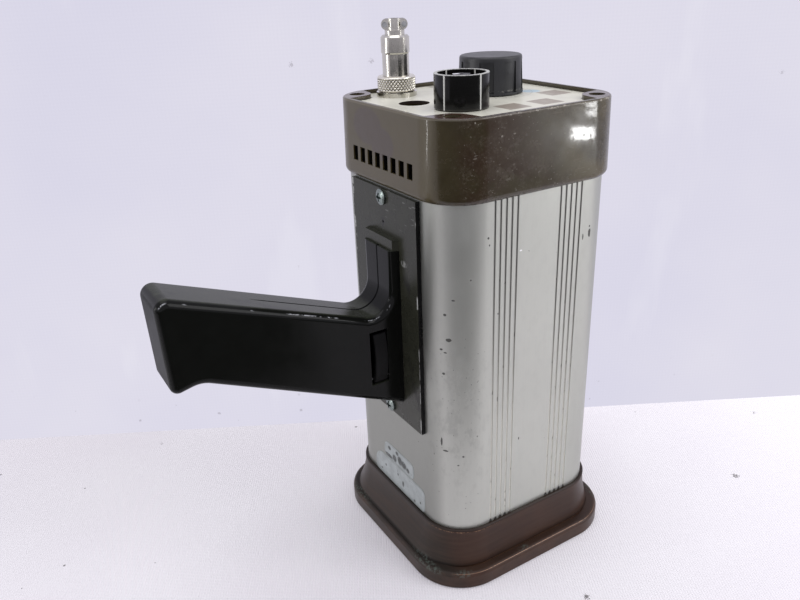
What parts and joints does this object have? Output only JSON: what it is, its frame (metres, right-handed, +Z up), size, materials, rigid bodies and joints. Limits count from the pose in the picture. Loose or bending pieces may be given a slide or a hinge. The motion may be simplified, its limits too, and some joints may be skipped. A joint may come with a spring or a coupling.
{
  "type": "xenon stroboscope",
  "caption": "Hand-held flash stroboscope: square metal housing on a flared lamp bezel, control panel with knobs and a locking plug on top, and a pistol grip on one side.",
  "frame": {"origin": "centre of the lamp opening, on the face of the bezel on which the instrument stands", "axes": "+Z up along the housing towards the control panel, -X the way the grip points, -Y the grooved face that the picture shows"},
  "size_m": [0.2241, 0.119, 0.273],
  "materials": {
    "brown_paint": "gloss, worn",
    "satin_aluminium": "satin anodised",
    "cream_panel": "satin",
    "zinc_steel": "bright zinc",
    "spring_steel": "dull",
    "window_glass": "clear",
    "tube_glass": "clear",
    "black_rubber": "matte",
    "mirror_dish": "polished",
    "ceramic": "glazed",
    "nickel": "bright nickel plate",
    "contact_brass": "bright",
    "knob_black": "satin",
    "sleeve_black": "black anodised with white lines",
    "insulator_black": "satin",
    "plate_paint": "satin, chipped",
    "handle_black": "gloss",
    "bar_black": "matte",
    "chassis_zinc": "zinc plated",
    "circuit_board": "lacquered laminate",
    "capacitor_sleeve": "shrunk sleeve",
    "film_orange": "dipped",
    "heat_sink_black": "black anodised",
    "core_iron": "lacquered sheets",
    "coil_tape": "taped winding",
    "potting_black": "potted"
  },
  "bodies": {
    "housing": {"body_extrusion": "satin_aluminium", "front_bezel": "brown_paint", "rear_cap": "brown_paint", "control_panel": "cream_panel", "rear_cap_screws": "zinc_steel", "front_bezel_screws": "zinc_steel", "lens_window": "window_glass", "lens_gasket": "black_rubber", "reflector_snap_ring": "spring_steel", "reflector": "mirror_dish", "lamp_socket": "ceramic", "flash_tube": "tube_glass", "flash_tube_electrodes": "nickel", "potentiometer_nut": "nickel", "potentiometer_body": "chassis_zinc", "rotary_switch_nut": "nickel", "rotary_switch_body": "insulator_black", "socket_shell": "nickel", "socket_insulator": "insulator_black", "socket_contacts": "contact_brass", "socket_nut": "nickel", "handle_plate": "plate_paint", "handle_plate_screws": "zinc_steel", "handle_near_half": "handle_black", "handle_far_half": "handle_black", "handle_joining_screws": "zinc_steel", "handle_mount_screws": "zinc_steel", "thumb_bar_pin": "zinc_steel", "handle_switch_body": "insulator_black", "chassis": "chassis_zinc", "shelf_screws": "zinc_steel", "main_circuit_board": "circuit_board", "board_spacers": "contact_brass", "board_screws": "zinc_steel", "film_capacitors": "film_orange", "heat_sink": "heat_sink_black", "power_transistor": "potting_black", "storage_capacitor": "capacitor_sleeve", "capacitor_clip": "zinc_steel", "transformer_core": "core_iron", "transformer_coil": "coil_tape", "transformer_strap": "zinc_steel", "trigger_coil": "potting_black"},
    "frequency_control": {"frequency_knob": "knob_black", "frequency_knob_screw": "zinc_steel", "potentiometer_shaft": "contact_brass"},
    "range_control": {"range_knob_sleeve": "sleeve_black", "range_knob_hub": "contact_brass", "range_collet_nut": "nickel", "rotary_switch_shaft": "contact_brass"},
    "thumb_lever": {"thumb_bar": "bar_black"},
    "switch_plunger": {"handle_switch_plunger": "insulator_black"},
    "plug": {"plug_shell": "nickel", "plug_insert": "insulator_black", "plug_pins": "contact_brass", "cable_clamp": "nickel", "cable_clamp_saddle": "nickel", "cable_clamp_screws": "zinc_steel"},
    "coupling_ring": {"plug_coupling_ring": "nickel"}
  },
  "joints": [
    {"name": "frequency_turn", "type": "hinge", "parent": "housing", "child": "frequency_control", "pos_m": [0.0172, 0.0086, 0.2375], "axis": [0, 0, 1], "range_deg": [-150, 150]},
    {"name": "range_turn", "type": "hinge", "parent": "housing", "child": "range_control", "pos_m": [-0.0191, -0.0173, 0.2375], "axis": [0, 0, 1], "range_deg": [-60, 60]},
    {"name": "thumb_bar_press", "type": "hinge", "parent": "housing", "child": "thumb_lever", "pos_m": [-0.0654, -0.0118, 0.1124], "axis": [-1, 0, 0], "range_deg": [0, 5], "stiffness_Nm_per_rad": 0.5},
    {"name": "plunger_slide", "type": "slide", "parent": "housing", "child": "switch_plunger", "axis": [0, 1, 0], "range_m": [0, 0.0016]},
    {"name": "plug_pull", "type": "slide", "parent": "housing", "child": "plug", "axis": [0, 0, 1], "range_m": [0, 0.012]},
    {"name": "ring_turn", "type": "hinge", "parent": "plug", "child": "coupling_ring", "pos_m": [-0.0211, 0.0346, 0.243], "axis": [0, 0, 1], "continuous": true}
  ],
  "couplings": [
    {"joint": "plunger_slide", "follows": "thumb_bar_press", "m_per_rad": 0.0175}
  ]
}
